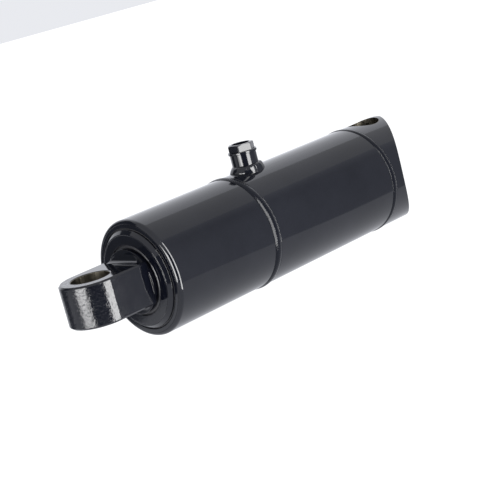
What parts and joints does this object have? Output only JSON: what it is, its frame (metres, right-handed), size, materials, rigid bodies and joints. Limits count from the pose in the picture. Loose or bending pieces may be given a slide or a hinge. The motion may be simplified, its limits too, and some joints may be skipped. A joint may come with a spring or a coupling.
{
  "type": "telescopic hydraulic cylinder",
  "caption": "Black painted telescopic hydraulic cylinder: a welded barrel with a side oil port, a sleeve stage that slides out of it, and a rod with a flat pin eye.",
  "frame": {"origin": "centre of the rear pin bore, on the cylinder's centre line", "axes": "+X along the cylinder's centre line the way the stages extend, +Z along both pin bores and out of the oil port"},
  "size_m": [0.4228, 0.1106, 0.1349],
  "materials": {
    "black_paint": "glossy black enamel over steel; the pin bores and sliding faces under it are bare steel",
    "machined_steel": "fine turned steel",
    "plated_steel": "steel washer with a bonded rubber edge, painted over",
    "seal_polyurethane": "dark polyurethane, satin",
    "nitrile_rubber": "black nitrile, satin",
    "guide_band_plastic": "matt filled guide strip",
    "backup_plastic": "matt off-white back-up ring"
  },
  "bodies": {
    "barrel": {"rear_eye_block": "black_paint", "rear_weld_bead": "black_paint", "rear_barrel_tube": "black_paint", "mid_weld_bead": "black_paint", "front_barrel_tube": "black_paint", "port_boss": "black_paint", "port_weld_collar": "black_paint", "port_seal_washer": "plated_steel", "port_adaptor": "black_paint", "barrel_gland": "machined_steel", "barrel_gland_o_ring": "nitrile_rubber", "barrel_guide_band_rear": "guide_band_plastic", "barrel_seal": "seal_polyurethane", "barrel_backup_ring": "backup_plastic", "barrel_guide_band_front": "guide_band_plastic", "barrel_wiper": "seal_polyurethane"},
    "stage_1": {"stage_1_tube": "black_paint", "stage_1_foot": "machined_steel", "stage_1_foot_guide_band": "guide_band_plastic", "stage_1_gland": "black_paint", "stage_1_gland_o_ring": "nitrile_rubber", "stage_1_guide_band_rear": "guide_band_plastic", "stage_1_seal": "seal_polyurethane", "stage_1_backup_ring": "backup_plastic", "stage_1_guide_band_front": "guide_band_plastic", "stage_1_wiper": "seal_polyurethane"},
    "rod_guide": {"rod_foot_guide_band": "guide_band_plastic"},
    "rod": {"rod_tube": "machined_steel", "rod_foot": "machined_steel", "rod_foot_o_ring": "nitrile_rubber", "rod_eye": "black_paint"}
  },
  "joints": [
    {"name": "stage_1_slide", "type": "slide", "parent": "barrel", "child": "stage_1", "axis": [1, 0, 0], "range_m": [0, 0.2035]},
    {"name": "rod_slide", "type": "slide", "parent": "stage_1", "child": "rod_guide", "axis": [1, 0, 0], "range_m": [0, 0.2015]},
    {"name": "rod_swivel", "type": "hinge", "parent": "rod_guide", "child": "rod", "pos_m": [0.057, 0, 0], "axis": [1, 0, 0], "range_deg": [-180, 180]}
  ]
}
